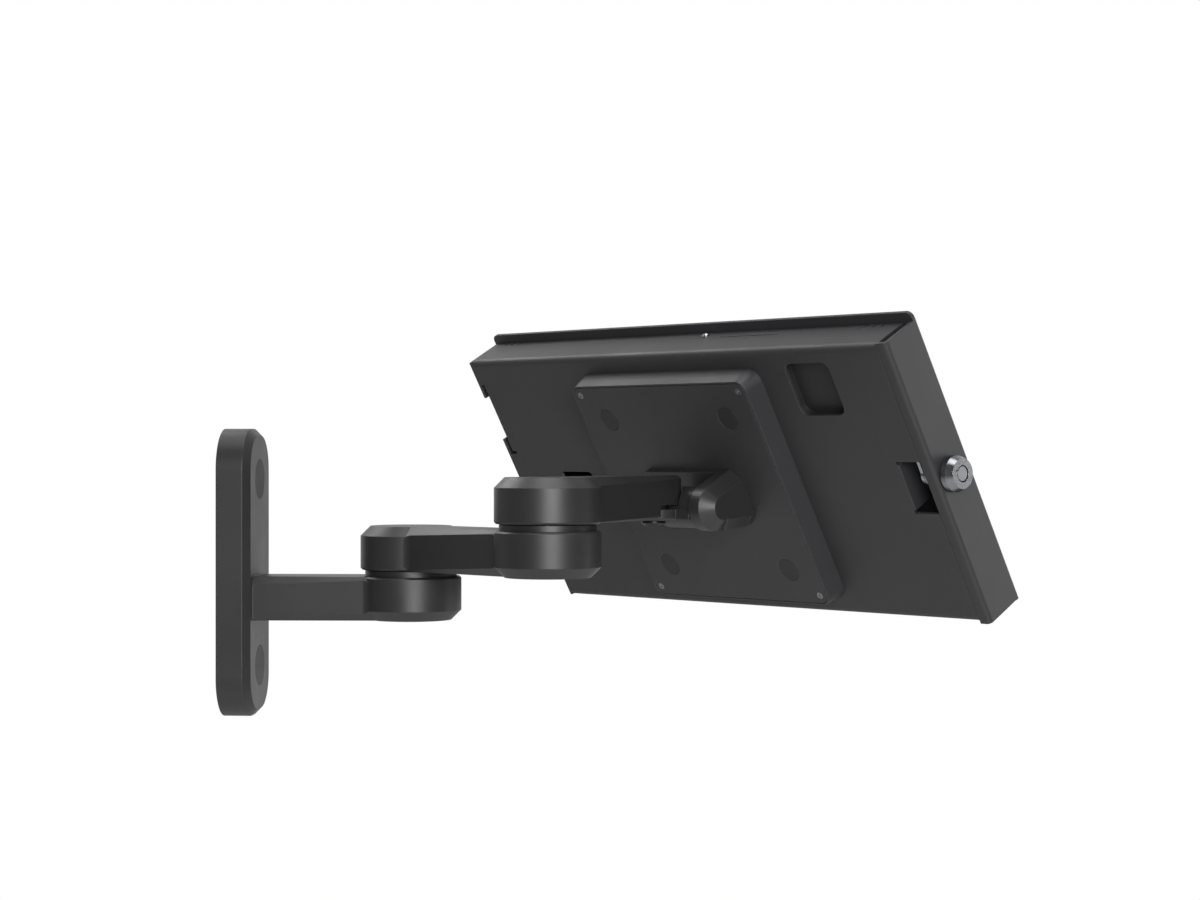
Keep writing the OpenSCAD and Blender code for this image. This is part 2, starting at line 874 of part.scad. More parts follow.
// blank that closes the camera window from inside: a shallow tray
module window_blank() {
  r = window_r;
  c = window / 2 - r;
  color(black)
    in_head()
      translate([window_x, window_y, tray_back - sheet - blank_t])
        difference() {
          drafted(c, c, blank_t, r + blank_edge, r + blank_edge);
          translate([0, 0, blank_t - blank_depth])
            drafted(c, c, blank_depth + 1, r + 1, r + 1);
        }
}

// four foam pads that press the tablet against the front plate
module foam_pads() {
  y = tray_h / 2 - pad_l;
  color(dark)
    in_head()
      for (x = [-1, 1])
        for (s = [-1, 1])
          translate([x * (pad_w / 2 + pad_gap) - pad_w / 2, s * y - pad_l / 2, tray_back - sheet - pad_t])
            cube([pad_w, pad_l, pad_t]);
}

module front_cover() {
  h = tray_h / 2;
  ri = 3;
  top = h + rim_top;
  color(black)
    in_head()
      difference() {
        union() {
          span([case_x0, -h - rim_low, front_z], [case_x1, top - rim_r, cap_in]);
          span([case_x0 + rim_r, 0, front_z], [case_x1 - rim_r, top, cap_in]);
          for (x = [case_x0 + rim_r, case_x1 - rim_r])
            translate([x, top - rim_r, front_z])
              cylinder(h = sheet, r = rim_r);
          // flange at the free end, in two lengths
          span([case_x0, flange_y1, cap_in - eps], [case_x0 + sheet, h - 0.5, tray_back - 0.4]);
          span([case_x0, -h + 0.5, cap_in - eps], [case_x0 + sheet, flange_y0, tray_back - 0.4]);
          // end wall that carries the lock, with its wrapping lip
          span([case_x1 - sheet, -h - cap_over, cap_in - eps], [case_x1, h + cap_over, tray_back - cap_bend]);
          rotate([0, 0, 90])
            fold(-h - cap_over, h + cap_over, -(case_x1 - cap_bend), tray_back - cap_bend, -1, 1, cap_bend);
          span([case_x1 - lip_w, -h - cap_over, tray_back - sheet], [case_x1 - cap_bend, h + cap_over, tray_back]);
        }
        translate([0, 0, front_z - 1])
          drafted(screen_w / 2 - ri, screen_h / 2 - ri, sheet + 2, ri, ri);
        along_x(case_x1 - sheet - 1, lock_y, lock_z)
          cylinder(h = sheet + 2, d = lock_tail_d + 0.2);
      }
}

// tubular key lock: collar, barrel and threaded tail, bored for the core
module lock_barrel() {
  rim_r = lock_d / 2;
  color(black)
    in_head()
      along_x(wall_x, lock_y, lock_z)
        difference() {
          union() {
            cylinder(h = 1.2, r = rim_r - 1.4);
            translate([0, 0, 1.2])
              cylinder(h = 2.3, r = rim_r);
            translate([0, 0, 3.5])
              cylinder(h = lock_out - 3.5, r1 = rim_r, r2 = rim_r - 1.3);
            translate([0, 0, -tail_len])
              cylinder(h = tail_len + eps, d = lock_tail_d);
          }
          translate([0, 0, -tail_len - 1])
            cylinder(h = tail_len + lock_out + 2, r = core_d / 2 + run_fit);
          rotate([0, 0, 135])
            translate([core_d / 2 - 0.6, -0.5, lock_out - 1])
              cube([1.3, 1, 2]);
        }
}

module lock_nut() {
  color(zinc)
    in_head()
      along_x(wall_x - sheet - nut_t, lock_y, lock_z)
        difference() {
          rotate([0, 0, 30])
            cylinder(h = nut_t, r = nut_af / 2 / cos(30), $fn = 6);
          translate([0, 0, -1])
            cylinder(h = nut_t + 2, d = lock_tail_d + 0.1);
        }
}

module lock_core() {
  color(steel)
    in_head()
      along_x(wall_x, lock_y, lock_z)
        difference() {
          union() {
            translate([0, 0, -tail_len - 0.3])
              cylinder(h = tail_len + lock_out + 0.1, r = core_d / 2);
            translate([0, 0, -tail_len - cam_t - 1.3])
              cylinder(h = cam_t + 1.1, r = 2.4);
          }
          translate([0, 0, lock_out - 4])
            difference() {
              cylinder(h = 5, r = core_d / 2 + 1);
              translate([0, 0, -1])
                cylinder(h = 7, r = core_d / 2 - 0.45);
            }
        }
}

module lock_cam() {
  color(zinc)
    in_head()
      along_x(cam_x, lock_y, lock_z)
        difference() {
          union() {
            cylinder(h = cam_t, r = 4.6);
            translate([-4, 0, 0])
              cube([8, cam_len, cam_t]);
          }
          translate([0, 0, -1])
            cylinder(h = cam_t + 2, r = 2.4 + run_fit);
        }
}

wall_bracket();
upper_screw_cap();
lower_screw_cap();
base_pivot_bolt();
base_spring_washer();
base_friction_ring();
base_hub_cap();
inner_link();
elbow_pivot_bolt();
elbow_spring_washer();
elbow_friction_ring();
elbow_hub_cap();
outer_link();
wrist_bolt();
wrist_washer();
swivel_knuckle();
tilt_bracket();
tilt_pin();
tilt_washer();
bracket_screws();
adapter_cover();
adapter_housing();
cover_screws();
hole_plugs();
rear_tray();
tray_rivet();
window_blank();
foam_pads();
front_cover();
lock_barrel();
lock_nut();
lock_core();
lock_cam();
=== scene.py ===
import json
import math

import bpy
import numpy as np
from mathutils import Euler, Matrix, Vector


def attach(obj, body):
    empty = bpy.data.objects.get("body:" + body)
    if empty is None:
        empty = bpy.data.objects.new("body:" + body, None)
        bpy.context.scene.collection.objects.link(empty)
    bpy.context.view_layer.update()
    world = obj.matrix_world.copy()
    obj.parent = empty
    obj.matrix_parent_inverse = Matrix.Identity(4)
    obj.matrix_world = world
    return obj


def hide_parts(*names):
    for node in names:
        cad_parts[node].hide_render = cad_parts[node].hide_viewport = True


bl_info = {
    "name": "Tablet Wall Mount",
    "version": (1, 0, 0),
    "blender": (4, 5, 0),
    "location": "View3D > Sidebar > Wall Mount",
    "description": "Finishes, soft pads and thread of a swing-arm tablet wall mount",
    "category": "Object",
}

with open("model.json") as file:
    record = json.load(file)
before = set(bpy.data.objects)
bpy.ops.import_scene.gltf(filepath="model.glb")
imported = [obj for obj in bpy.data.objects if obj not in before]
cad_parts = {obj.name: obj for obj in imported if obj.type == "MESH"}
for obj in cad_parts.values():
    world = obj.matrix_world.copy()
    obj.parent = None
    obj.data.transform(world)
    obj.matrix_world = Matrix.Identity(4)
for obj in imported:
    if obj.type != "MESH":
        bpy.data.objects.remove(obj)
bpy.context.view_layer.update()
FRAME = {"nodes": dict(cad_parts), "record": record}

MM = 0.001

# The head's own frame: x along the tilt axis, y up the back of the case,
# z out of the back, zero at the cover plate's centre. Degrees and metres.
HEAD_YAW = -43.35
HEAD_LEAN = 29.6
TILT_POINT = (0.1904053, 0.0289304, 0.0277)
TILT_OFFSET = (0.0, 0.0026, 0.0155)

# Foam pads inside the tray, in the head's frame, millimetres, as the CAD has them
PAD_WIDTH = 57.0
PAD_LENGTH = 10.0
PAD_X = 34.5
PAD_Y = 54.7
PAD_CENTRES = [(sx * PAD_X, sy * PAD_Y) for sx in (-1, 1) for sy in (-1, 1)]
PAD_BASE = -10.5
PAD_THICKNESS = 4.0
# power of the superellipse, points on a ring, rings over the edge and over the
# top, and the share of the way to the middle that the last ring has gone
PAD_PLAN_POWER = 6
PAD_COLUMNS = 96
PAD_EDGE_RINGS = 7
PAD_TOP_RINGS = 8
PAD_CLOSING = 0.96

# Lock, in the head's frame: where its axis meets the end wall, the tail's
# radius, and the stretch of tail behind the nut, in millimetres
LOCK_CENTRE = (131.5, 1.2, -17.6)
LOCK_TAIL_RADIUS = 5.0
THREAD_START = 121.8
THREAD_LENGTH = 4.8
# the profile's four corners: height in thread depths, place in pitches
THREAD_RISE = np.array([[-0.2, 1.0, 1.0, -0.2]])
THREAD_ALONG = np.array([[-0.42, -0.06, 0.06, 0.42]])
# points in one turn, turns over which an end fades, and the depth left there
THREAD_STEPS = 30
THREAD_FADE_TURNS = 0.5
THREAD_LEAST = 0.05

# Patterns: where noise mostly lies, the tone of one grain, and the cloudy gloss
# that handling and plating leave, as a width and as a change of roughness
NOISE_REACH = (0.3, 0.7)
GRAIN_TONE = (0.93, 1.07)
HANDLING_CLOUD_MM = 28
HANDLING_GLOSS = (-0.03, 0.04)
PLATING_CLOUD_MM = 6
PLATING_GLOSS = (-0.05, 0.07)
# cosine between the rounded and the flat normal, from a ridge to a flat face, over which the
# painted edge highlight fades out
RIDGE_COSINE = (0.8, 0.995)
BEVEL_SAMPLES = 8
PLATED_EDGE_MM = 0.12
TOOL_MARK_DEPTH_MM = 0.006
# foam cells, drawn about twice as wide as real so that they show
FOAM_CELL_MM = 0.8
FOAM_CELL_DEPTH_MM = 0.15
FOAM_CELL_REACH = (0.1, 0.8)
# colour from the hollows to the walls: painted shade in the hollows, painted light on the raised
# walls
FOAM_PAINTED_SHADE = (0.8, 1.5)

# Camera fitted to the photograph: focal length, frame width and shift in
# pixels, sensor in millimetres, place in metres, turn to the left in degrees
FOCAL_PIXELS = 2447.6
FRAME_PIXELS = 1200
CAMERA_SHIFT = 1.6
SENSOR_WIDTH = 36
CAMERA_PLACE = (0.2544, -1.0340, 0.0517)
CAMERA_TURN = 5.16
CLIP_START = 0.01

# Soft boxes: place, point aimed at, size in metres, watts
LIGHTS = {
    "window_front": ((0.56, -1.58, 0.3), (0.15, 0.0, 0.02), (0.8, 0.8), 28.0),
    "window_right": ((1.35, 0.4, 0.2), (0.2, 0.0, 0.03), (0.5, 0.8), 4.0),
    "overhead": ((0.2, -0.2, 1.2), (0.18, 0.0, 0.03), (0.8, 0.6), 7.0),
    "overhead_left": ((-0.58, 0.58, 0.93), (0.2, 0.0, 0.05), (0.5, 0.5), 4.5),
}
FILL_STRENGTH = 0.3
# strength of the backdrop that gloss sees, and the reach along y over which
# it rises from the camera's side to the side behind the object
BACKDROP_STRENGTH = (0.1, 0.85)
BACKDROP_REACH = (-0.2, 0.9)
FLOOR_DROP = 0.75
FLOOR_HALF = 2.0
FLOOR_GLOW = 0.5
WHITE = (1.0, 1.0, 1.0, 1.0)


def head_matrix():
    """Matrix from the head's own frame to the row's frame, in metres: a lean about x,
    then the yaw about z, with the tilt offset brought to the tilt point."""
    lean = Matrix.Rotation(math.radians(90 + HEAD_LEAN), 4, "X")
    turn = Matrix.Rotation(math.radians(HEAD_YAW), 4, "Z") @ lean
    return Matrix.Translation(TILT_POINT) @ turn @ Matrix.Translation(-Vector(TILT_OFFSET))


def into_row(points):
    """Head-frame points in millimetres as row-frame points in metres."""
    m = np.array(head_matrix())
    return (np.asarray(points, float) * MM) @ m[:3, :3].T + m[:3, 3]


def linear(hex_colour):
    """Linear red, green and blue of an sRGB colour given as six hex digits."""
    parts = [int(hex_colour[i:i + 2], 16) / 255 for i in (0, 2, 4)]
    return [p / 12.92 if p <= 0.04045 else ((p + 0.055) / 1.055) ** 2.4 for p in parts]


def add_node(tree, kind, inputs=None, **settings):
    """Adds a node. inputs holds constants, or sockets to link, by socket name or number."""
    node = tree.nodes.new(kind)
    for key, value in settings.items():
        setattr(node, key, value)
    for key, value in (inputs or {}).items():
        if isinstance(value, bpy.types.NodeSocket):
            tree.links.new(value, node.inputs[key])
        else:
            node.inputs[key].default_value = value
    return node


def start_material(name):
    """A new node material: its tree and its Principled shader, joined to the output."""
    mat = bpy.data.materials.new(name)
    mat.use_nodes = True
    tree = mat.node_tree
    tree.nodes.clear()
    shader = add_node(tree, "ShaderNodeBsdfPrincipled")
    add_node(tree, "ShaderNodeOutputMaterial", {"Surface": shader.outputs["BSDF"]})
    return mat, tree, shader


def spread(tree, value, low, high, edges=NOISE_REACH):
    """Stretches the range edges of a pattern to low..high and gives the socket."""
    node = add_node(tree, "ShaderNodeMapRange", {
        "Value": value, "From Min": edges[0], "From Max": edges[1], "To Min": low, "To Max": high})
    return node.outputs["Result"]


def coated(name, colour, roughness, grain_mm, grain_depth, edge_mm, edge_highlight_gain, metallic=0.0):
    """Opaque coat or moulded skin over a shape with softened edges. grain_mm is the
    width of one grain of the skin and grain_depth its height, both in millimetres.
    The edges are rounded by edge_mm, and their colour there is made lighter by the edge gain,
    as a painted highlight on the ridges."""
    mat, tree, shader = start_material(name)
    place = add_node(tree, "ShaderNodeTexCoord").outputs["Object"]
    grain = add_node(tree, "ShaderNodeTexNoise", {
        "Vector": place, "Scale": 1 / (grain_mm * MM),
        "Detail": 2.0, "Roughness": 0.6}).outputs["Fac"]
    # handling leaves the gloss cloudy over a few centimetres
    cloud = add_node(tree, "ShaderNodeTexNoise", {
        "Vector": place, "Scale": 1 / (HANDLING_CLOUD_MM * MM),
        "Detail": 3.0, "Roughness": 0.55}).outputs["Fac"]
    edge = add_node(tree, "ShaderNodeBevel", {"Radius": edge_mm * MM},
                    samples=BEVEL_SAMPLES).outputs["Normal"]
    flat = add_node(tree, "ShaderNodeNewGeometry").outputs["Normal"]
    agree = add_node(tree, "ShaderNodeVectorMath", {0: edge, 1: flat}, operation="DOT_PRODUCT")
    # painted highlight: the colour grows lighter by the edge gain on rounded ridges and fades to
    # none on flat faces
    painted_edge_highlight = spread(tree, agree.outputs["Value"], edge_highlight_gain, 1.0, RIDGE_COSINE)
    tone = spread(tree, grain, *GRAIN_TONE)
    light = add_node(tree, "ShaderNodeMath", {0: painted_edge_highlight, 1: tone}, operation="MULTIPLY").outputs[0]
    base = add_node(tree, "ShaderNodeVectorMath", {0: colour, "Scale": light}, operation="SCALE")
    bump = add_node(tree, "ShaderNodeBump", {
        "Distance": grain_depth * MM, "Height": grain, "Normal": edge})
    tree.links.new(base.outputs["Vector"], shader.inputs["Base Color"])
    gloss = spread(tree, cloud, *(roughness + change for change in HANDLING_GLOSS))
    tree.links.new(gloss, shader.inputs["Roughness"])
    tree.links.new(bump.outputs["Normal"], shader.inputs["Normal"])
    shader.inputs["Metallic"].default_value = metallic
    return mat


def turned(name, colour, roughness, mark_mm, centre=None):
    """Turned and plated metal with tool marks mark_mm wide. With a centre, in the row's
    frame, the marks are rings round the head's x axis through it: noise over the
    distance from that axis. Without one they are fine unordered marks."""
    mat, tree, shader = start_material(name)
    place = add_node(tree, "ShaderNodeTexCoord").outputs["Object"]
    if centre is None:
        along = place
        kind = "3D"
    else:
        axis = tuple(head_matrix().to_3x3() @ Vector((1, 0, 0)))
        arm = add_node(tree, "ShaderNodeVectorMath", {0: place, 1: tuple(centre)},
                       operation="SUBTRACT")
        lever = add_node(tree, "ShaderNodeVectorMath", {0: arm.outputs[0], 1: axis},
                         operation="CROSS_PRODUCT")
        reach = add_node(tree, "ShaderNodeVectorMath", {0: lever.outputs[0]}, operation="LENGTH")
        along = reach.outputs["Value"]
        kind = "1D"
    marks = add_node(tree, "ShaderNodeTexNoise", noise_dimensions=kind)
    tree.links.new(along, marks.inputs["W" if kind == "1D" else "Vector"])
    marks.inputs["Scale"].default_value = 1 / (mark_mm * MM)
    marks.inputs["Detail"].default_value = 2.0
    cloud = add_node(tree, "ShaderNodeTexNoise", {
        "Vector": place, "Scale": 1 / (PLATING_CLOUD_MM * MM), "Detail": 3.0}).outputs["Fac"]
    edge = add_node(tree, "ShaderNodeBevel", {"Radius": PLATED_EDGE_MM * MM},
                    samples=BEVEL_SAMPLES).outputs["Normal"]
    bump = add_node(tree, "ShaderNodeBump", {
        "Distance": TOOL_MARK_DEPTH_MM * MM, "Height": marks.outputs["Fac"], "Normal": edge})
    gloss = spread(tree, cloud, *(roughness + change for change in PLATING_GLOSS))
    tree.links.new(gloss, shader.inputs["Roughness"])
    tree.links.new(bump.outputs["Normal"], shader.inputs["Normal"])
    shader.inputs["Base Color"].default_value = (*colour, 1.0)
    shader.inputs["Metallic"].default_value = 1.0
    return mat


def foam_material(name, colour, cell_mm):
    """Closed-cell foam: round cells of cell_mm with raised walls and no shine. The colour is
    painted darker in the hollows and paler on the walls, as painted shade and light."""
    mat, tree, shader = start_material(name)
    place = add_node(tree, "ShaderNodeTexCoord").outputs["Object"]
    cells = add_node(tree, "ShaderNodeTexVoronoi", {
        "Vector": place, "Scale": 1 / (cell_mm * MM)}).outputs["Distance"]
    # painted shade: darker in the cell hollows, paler on the raised walls
    light = spread(tree, cells, *FOAM_PAINTED_SHADE, FOAM_CELL_REACH)
    base = add_node(tree, "ShaderNodeVectorMath", {0: colour, "Scale": light}, operation="SCALE")
    bump = add_node(tree, "ShaderNodeBump", {"Distance": FOAM_CELL_DEPTH_MM * MM, "Height": cells})
    tree.links.new(base.outputs["Vector"], shader.inputs["Base Color"])
    tree.links.new(bump.outputs["Normal"], shader.inputs["Normal"])
    shader.inputs["Roughness"].default_value = 0.92
    return mat


def skin(name, points):
    """Closed surface over a grid of row-frame points: points[i, j] is place j on closed
    ring i, neighbouring rings are joined by quads, and the two end rings are filled.
    The faces are turned outward if the signed volume comes out negative."""
    rows, cols = points.shape[:2]
    i = np.arange(rows - 1)[:, None] * cols
    j = np.arange(cols)[None, :]
    k = (j + 1) % cols
    quads = np.stack([i + j, i + k, i + cols + k, i + cols + j], axis=-1).reshape(-1, 4)
    ends = [list(range(cols - 1, -1, -1)), list(range((rows - 1) * cols, rows * cols))]
    mesh = bpy.data.meshes.new(name)
    mesh.from_pydata(points.reshape(-1, 3).tolist(), [], quads.tolist() + ends)
    mesh.calc_loop_triangles()
    corners = np.empty(len(mesh.loop_triangles) * 3, dtype=np.int32)
    mesh.loop_triangles.foreach_get("vertices", corners)
    t = points.reshape(-1, 3)[corners.reshape(-1, 3)]
    if np.einsum("ij,ij->", t[:, 0], np.cross(t[:, 1], t[:, 2])) < 0:
        mesh.flip_normals()
    mesh.update()
    obj = bpy.data.objects.new(name, mesh)
    bpy.context.collection.objects.link(obj)
    return obj


def pad_points(centre, half, base, thick, edge, crown):
    """Rings of a soft rectangular pad: a superellipse in plan. The side rises
    straight, turns in by a quarter circle of the edge radius, and then the top
    swells by the crown as one less the square of the way still left to the middle."""
    angle = np.linspace(0, 2 * math.pi, PAD_COLUMNS, endpoint=False)
    circle = np.stack([np.cos(angle), np.sin(angle)], axis=1)
    shape = np.sign(circle) * np.abs(circle) ** (2 / PAD_PLAN_POWER)
    turn = np.linspace(0, math.pi / 2, PAD_EDGE_RINGS)
    inward = np.linspace(0, 1, PAD_TOP_RINGS + 1)[1:]
    shoulder = thick - crown - edge
    inset = np.concatenate([[0.0], edge * (1 - np.cos(turn)),
                            edge + inward * (half[1] - edge) * PAD_CLOSING])
    height = np.concatenate([[0.0], shoulder + edge * np.sin(turn),
                             thick - crown * (1 - inward) ** 2])
    plan = (np.array(half)[None, None, :] - inset[:, None, None]) * shape[None]
    down = np.broadcast_to((base - height)[:, None, None], plan.shape[:2] + (1,))
    return into_row(np.concatenate([plan + np.array(centre), down], axis=-1))


def thread_points(radius, depth, pitch, length, start, centre):
    """Rings of a screw thread: a ridge of four corners with sloping flanks is carried
    along a helix, at angle 2 pi t and advance pitch times t, and its height falls
    almost to nothing over the first and the last half turn."""
    turns = length / pitch
    t = np.linspace(0, turns, int(turns * THREAD_STEPS))[:, None]
    fade = np.clip(np.minimum(t, turns - t) / THREAD_FADE_TURNS, THREAD_LEAST, 1.0)
    r = radius + depth * np.where(THREAD_RISE > 0, THREAD_RISE * fade, THREAD_RISE)
    x = start + (t + THREAD_ALONG) * pitch
    angle = 2 * math.pi * t
    y = centre[1] + r * np.cos(angle)
    z = centre[2] + r * np.sin(angle)
    return into_row(np.stack([x, y, z], axis=-1))


class WallMountSettings(bpy.types.PropertyGroup):
    """Colours and sizes that a user may change"""
    casting_colour: bpy.props.FloatVectorProperty(
        name="Casting colour", description="Colour of the coat on the cast arm and hubs",
        subtype="COLOR", size=3, min=0, max=1, default=linear("232324"))
    sheet_colour: bpy.props.FloatVectorProperty(
        name="Sheet colour", description="Colour of the coat on the folded enclosure",
        subtype="COLOR", size=3, min=0, max=1, default=linear("28282a"))
    plastic_colour: bpy.props.FloatVectorProperty(
        name="Plastic colour", description="Colour of the caps, plugs and rings",
        subtype="COLOR", size=3, min=0, max=1, default=linear("1c1c1d"))
    steel_colour: bpy.props.FloatVectorProperty(
        name="Steel colour", description="Colour of the zinc plate on nut, rivet and bolts",
        subtype="COLOR", size=3, min=0, max=1, default=linear("b4b6ba"))
    lock_colour: bpy.props.FloatVectorProperty(
        name="Lock colour", description="Colour of the plate on the lock's barrel",
        subtype="COLOR", size=3, min=0, max=1, default=linear("8a8b8e"))
    foam_colour: bpy.props.FloatVectorProperty(
        name="Foam colour", description="Colour of the pads inside the tray",
        subtype="COLOR", size=3, min=0, max=1, default=linear("1a1a1b"))
    coat_grain: bpy.props.FloatProperty(
        name="Coat grain", description="Width of one grain of the powder coat",
        default=0.0005, min=0.0002, max=0.002, unit="LENGTH")
    edge_radius: bpy.props.FloatProperty(
        name="Edge radius", description="Rounding of the coated edges",
        default=0.0004, min=0.0001, max=0.001, unit="LENGTH")
    pad_crown: bpy.props.FloatProperty(
        name="Pad crown", description="Swell of a foam pad's free face",
        default=0.0004, min=0.0, max=0.001, unit="LENGTH")
    pad_edge: bpy.props.FloatProperty(
        name="Pad edge", description="Radius of a foam pad's edges",
        default=0.0012, min=0.0002, max=0.002, unit="LENGTH")
    thread_pitch: bpy.props.FloatProperty(
        name="Thread pitch", description="Pitch of the thread on the lock's tail",
        default=0.001, min=0.0005, max=0.002, unit="LENGTH")
    thread_depth: bpy.props.FloatProperty(
        name="Thread depth", description="Depth of the thread on the lock's tail",
        default=0.00025, min=0.0001, max=0.0005, unit="LENGTH")


class WALLMOUNT_OT_finishes(bpy.types.Operator):
    """Give every CAD piece the finish of its real material"""
    bl_idname = "wallmount.finishes"
    bl_label = "Finishes"

    def execute(self, context):
        s = context.scene.wall_mount
        grain = s.coat_grain / MM
        edge = s.edge_radius / MM
        casting = tuple(s.casting_colour)
        plastic = tuple(s.plastic_colour)
        lock_point = into_row(LOCK_CENTRE)
        # grains and tool marks are drawn a few times as wide as real, so that they show
        finish = {
            # semi-matt, with a soft sheen on hubs and bevels and pale ridges that are a painted
            # highlight
            "black_casting": coated(
                "satin_powder_coat_on_cast_aluminium", casting, roughness=0.42,
                grain_mm=grain * 1.1, grain_depth=0.014, edge_mm=edge, edge_highlight_gain=1.9),
            # flatter and a touch greyer than the castings, with a fine sandy grain
            "black_sheet": coated(
                "matt_powder_coat_on_folded_steel", tuple(s.sheet_colour), roughness=0.5,
                grain_mm=grain, grain_depth=0.016, edge_mm=edge, edge_highlight_gain=1.8),
            # dull and even, a shade darker than the coat round it
            "black_plastic": coated(
                "spark_textured_moulded_nylon", plastic, roughness=0.55,
                grain_mm=0.35, grain_depth=0.012, edge_mm=0.2, edge_highlight_gain=1.3),
            # smooth and slightly waxy, seen as a dark line in the hub gaps
            "friction_plastic": coated(
                "turned_acetal", plastic, roughness=0.38,
                grain_mm=0.8, grain_depth=0.003, edge_mm=0.2, edge_highlight_gain=1.2),
            # dark metal with a dull glint
            "black_steel": coated(
                "black_oxide_on_steel", linear("2b2b2c"), roughness=0.36,
                grain_mm=0.3, grain_depth=0.003, edge_mm=0.2, edge_highlight_gain=1.6, metallic=0.7),
            # dull black with fine pores and no shine
            "black_foam": foam_material("closed_cell_foam", tuple(s.foam_colour), FOAM_CELL_MM),
            # bright and slightly cloudy, picks up the lights as small sparks
            "zinc_steel": turned("zinc_plate_on_turned_steel", s.steel_colour,
                                 roughness=0.3, mark_mm=0.25),
        }
        own = {
            # grey mirror with fine rings on its face
            "lock_barrel": turned("black_nickel_on_turned_brass", s.lock_colour,
                                  roughness=0.26, mark_mm=0.3, centre=lock_point),
            # the same grey, a little duller where the key has rubbed
            "lock_core": turned("nickel_plate_on_turned_brass", s.lock_colour,
                                roughness=0.3, mark_mm=0.3, centre=lock_point),
            # small pale glints in the corners of the cover
            "cover_screws": turned("blackened_stainless_screw", linear("8c8c8e"),
                                   roughness=0.42, mark_mm=0.25),
        }
        slot_of = {p["node"]: p["material_slot"] for p in FRAME["record"]["subparts"]}
        for name, obj in FRAME["nodes"].items():
            obj.data.materials.clear()
            obj.data.materials.append(own.get(name) or finish[slot_of[name]])
        return {"FINISHED"}


def carry(piece, slot, like, *nodes):
    """Lets a new piece ride on the head with the finish of the CAD node like, and stand
    for the given nodes."""
    piece.data.materials.append(FRAME["nodes"][like].data.materials[0])
    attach(piece, "head")
    if nodes:
        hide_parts(*nodes)


class WALLMOUNT_OT_tablet_pads(bpy.types.Operator):
    """Lay the soft foam pads that press the tablet forward"""
    bl_idname = "wallmount.tablet_pads"
    bl_label = "Tablet pads"

    def execute(self, context):
        s = context.scene.wall_mount
        half = (PAD_WIDTH / 2, PAD_LENGTH / 2)
        for number, centre in enumerate(PAD_CENTRES):
            points = pad_points(centre, half, PAD_BASE, PAD_THICKNESS,
                                s.pad_edge / MM, s.pad_crown / MM)
            pad = skin(f"tablet_pad_{number + 1}", points)
            pad.data.shade_smooth()
            carry(pad, "black_foam", "foam_pads", "foam_pads")
        return {"FINISHED"}


class WALLMOUNT_OT_lock_thread(bpy.types.Operator):
    """Cut the fine thread of the lock's tail"""
    bl_idname = "wallmount.lock_thread"
    bl_label = "Lock thread"

    def execute(self, context):
        s = context.scene.wall_mount
        points = thread_points(LOCK_TAIL_RADIUS, s.thread_depth / MM, s.thread_pitch / MM,
                               THREAD_LENGTH, THREAD_START, LOCK_CENTRE)
        carry(skin("lock_thread", points), "black_steel", "lock_barrel")
        return {"FINISHED"}


def soft_box(name, place, aim, size, watts):
    """Rectangular lamp at place that looks at the point aim."""
    data = bpy.data.lights.new(name, "AREA")
    data.shape = "RECTANGLE"
    data.size, data.size_y = size
    data.energy = watts
    lamp = bpy.data.objects.new(name, data)
    lamp.location = place
    lamp.rotation_euler = (Vector(aim) - Vector(place)).to_track_quat("-Z", "Y").to_euler()
    bpy.context.collection.objects.link(lamp)


def pale_floor():
    """Plain pale floor below the object, out of the camera's view."""
    mesh = bpy.data.meshes.new("floor")
    square = ((-1, -1), (1, -1), (1, 1), (-1, 1))
    corners = [(x * FLOOR_HALF, y * FLOOR_HALF, -FLOOR_DROP) for x, y in square]
    mesh.from_pydata(corners, [], [(0, 1, 2, 3)])
    floor = bpy.data.objects.new("floor", mesh)
    bpy.context.collection.objects.link(floor)
    mat, tree, shader = start_material("pale_matt_board")
    shader.inputs["Base Color"].default_value = (*linear("e4e4e2"), 1.0)
    shader.inputs["Roughness"].default_value = 0.9
    # the camera sees the board paler than the lamps alone would leave it
    seen = add_node(tree, "ShaderNodeLightPath").outputs["Is Camera Ray"]
    glow = add_node(tree, "ShaderNodeMath", {0: seen, 1: FLOOR_GLOW}, operation="MULTIPLY")
    tree.links.new(glow.outputs[0], shader.inputs["Emission Strength"])
    shader.inputs["Emission Color"].default_value = WHITE
    floor.data.materials.append(mat)


def studio_world(scene):
    """White to the camera. Gloss sees a white backdrop behind the object that falls to
    grey towards the camera's side, and everything gets a dim even fill."""
    world = bpy.data.worlds.new("studio")
    scene.world = world
    world.use_nodes = True
    tree = world.node_tree
    tree.nodes.clear()
    path = add_node(tree, "ShaderNodeLightPath").outputs
    way = add_node(tree, "ShaderNodeTexCoord").outputs["Generated"]
    depth = add_node(tree, "ShaderNodeSeparateXYZ", {"Vector": way}).outputs["Y"]
    backdrop = spread(tree, depth, *BACKDROP_STRENGTH, BACKDROP_REACH)
    shiny = add_node(tree, "ShaderNodeMath", {
        0: path["Is Glossy Ray"], 1: path["Is Transmission Ray"]}, operation="MAXIMUM").outputs[0]
    fill, seen, white = (
        add_node(tree, "ShaderNodeBackground", {"Color": WHITE, "Strength": strength}).outputs[0]
        for strength in (FILL_STRENGTH, backdrop, 1.0))
    first = add_node(tree, "ShaderNodeMixShader", {0: shiny, 1: fill, 2: seen}).outputs[0]
    last = add_node(tree, "ShaderNodeMixShader", {0: path["Is Camera Ray"], 1: first, 2: white})
    add_node(tree, "ShaderNodeOutputWorld", {"Surface": last.outputs[0]})


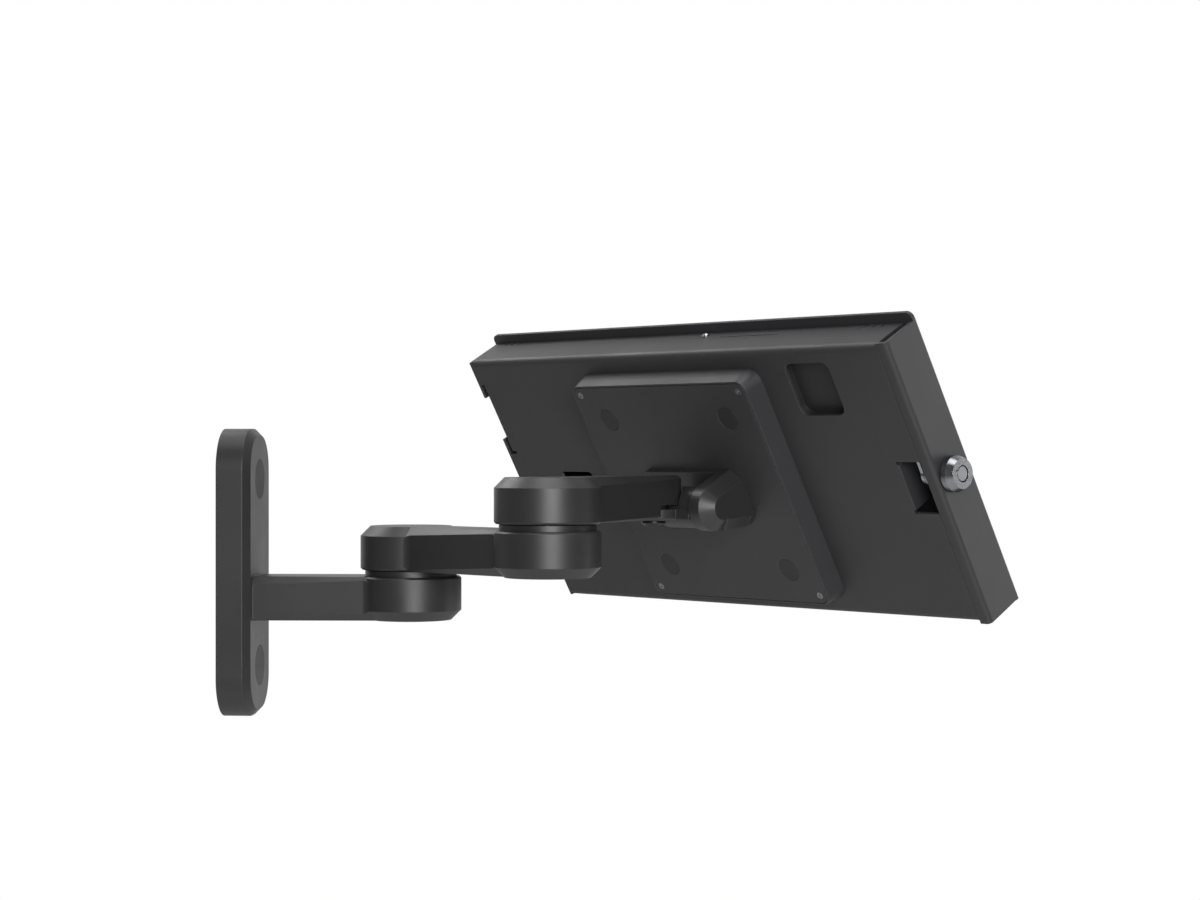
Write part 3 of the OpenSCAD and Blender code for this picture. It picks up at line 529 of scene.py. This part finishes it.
class WALLMOUNT_OT_stage(bpy.types.Operator):
    """Set the camera at the photograph's angle, the floor and the soft studio light"""
    bl_idname = "wallmount.stage"
    bl_label = "Stage"

    def execute(self, context):
        scene = context.scene
        data = bpy.data.cameras.new("camera")
        data.sensor_width = SENSOR_WIDTH
        data.lens = SENSOR_WIDTH * FOCAL_PIXELS / FRAME_PIXELS
        data.shift_y = CAMERA_SHIFT / FRAME_PIXELS
        data.clip_start = CLIP_START
        camera = bpy.data.objects.new("camera", data)
        camera.location = CAMERA_PLACE
        camera.rotation_euler = Euler((math.pi / 2, 0, math.radians(CAMERA_TURN)))
        context.collection.objects.link(camera)
        scene.camera = camera
        pale_floor()
        studio_world(scene)
        for name, (place, aim, size, watts) in LIGHTS.items():
            soft_box(name, place, aim, size, watts)
        scene.view_settings.view_transform = "Standard"
        return {"FINISHED"}


class WALLMOUNT_PT_panel(bpy.types.Panel):
    """Colours, sizes and pieces of the wall mount"""
    bl_label = "Wall Mount"
    bl_idname = "WALLMOUNT_PT_panel"
    bl_space_type = "VIEW_3D"
    bl_region_type = "UI"
    bl_category = "Wall Mount"

    def draw(self, context):
        column = self.layout.column()
        for name in WallMountSettings.__annotations__:
            column.prop(context.scene.wall_mount, name)
        for operator in OPERATORS:
            column.operator(operator.bl_idname)


OPERATORS = (WALLMOUNT_OT_finishes, WALLMOUNT_OT_tablet_pads, WALLMOUNT_OT_lock_thread,
             WALLMOUNT_OT_stage)
CLASSES = (WallMountSettings,) + OPERATORS + (WALLMOUNT_PT_panel,)


def register():
    for cls in CLASSES:
        bpy.utils.register_class(cls)
    bpy.types.Scene.wall_mount = bpy.props.PointerProperty(type=WallMountSettings)


def unregister():
    del bpy.types.Scene.wall_mount
    for cls in reversed(CLASSES):
        bpy.utils.unregister_class(cls)


def main():
    register()
    bpy.ops.wallmount.finishes()
    bpy.ops.wallmount.tablet_pads()
    bpy.ops.wallmount.lock_thread()
    bpy.ops.wallmount.stage()


if __name__ == "__main__":
    main()
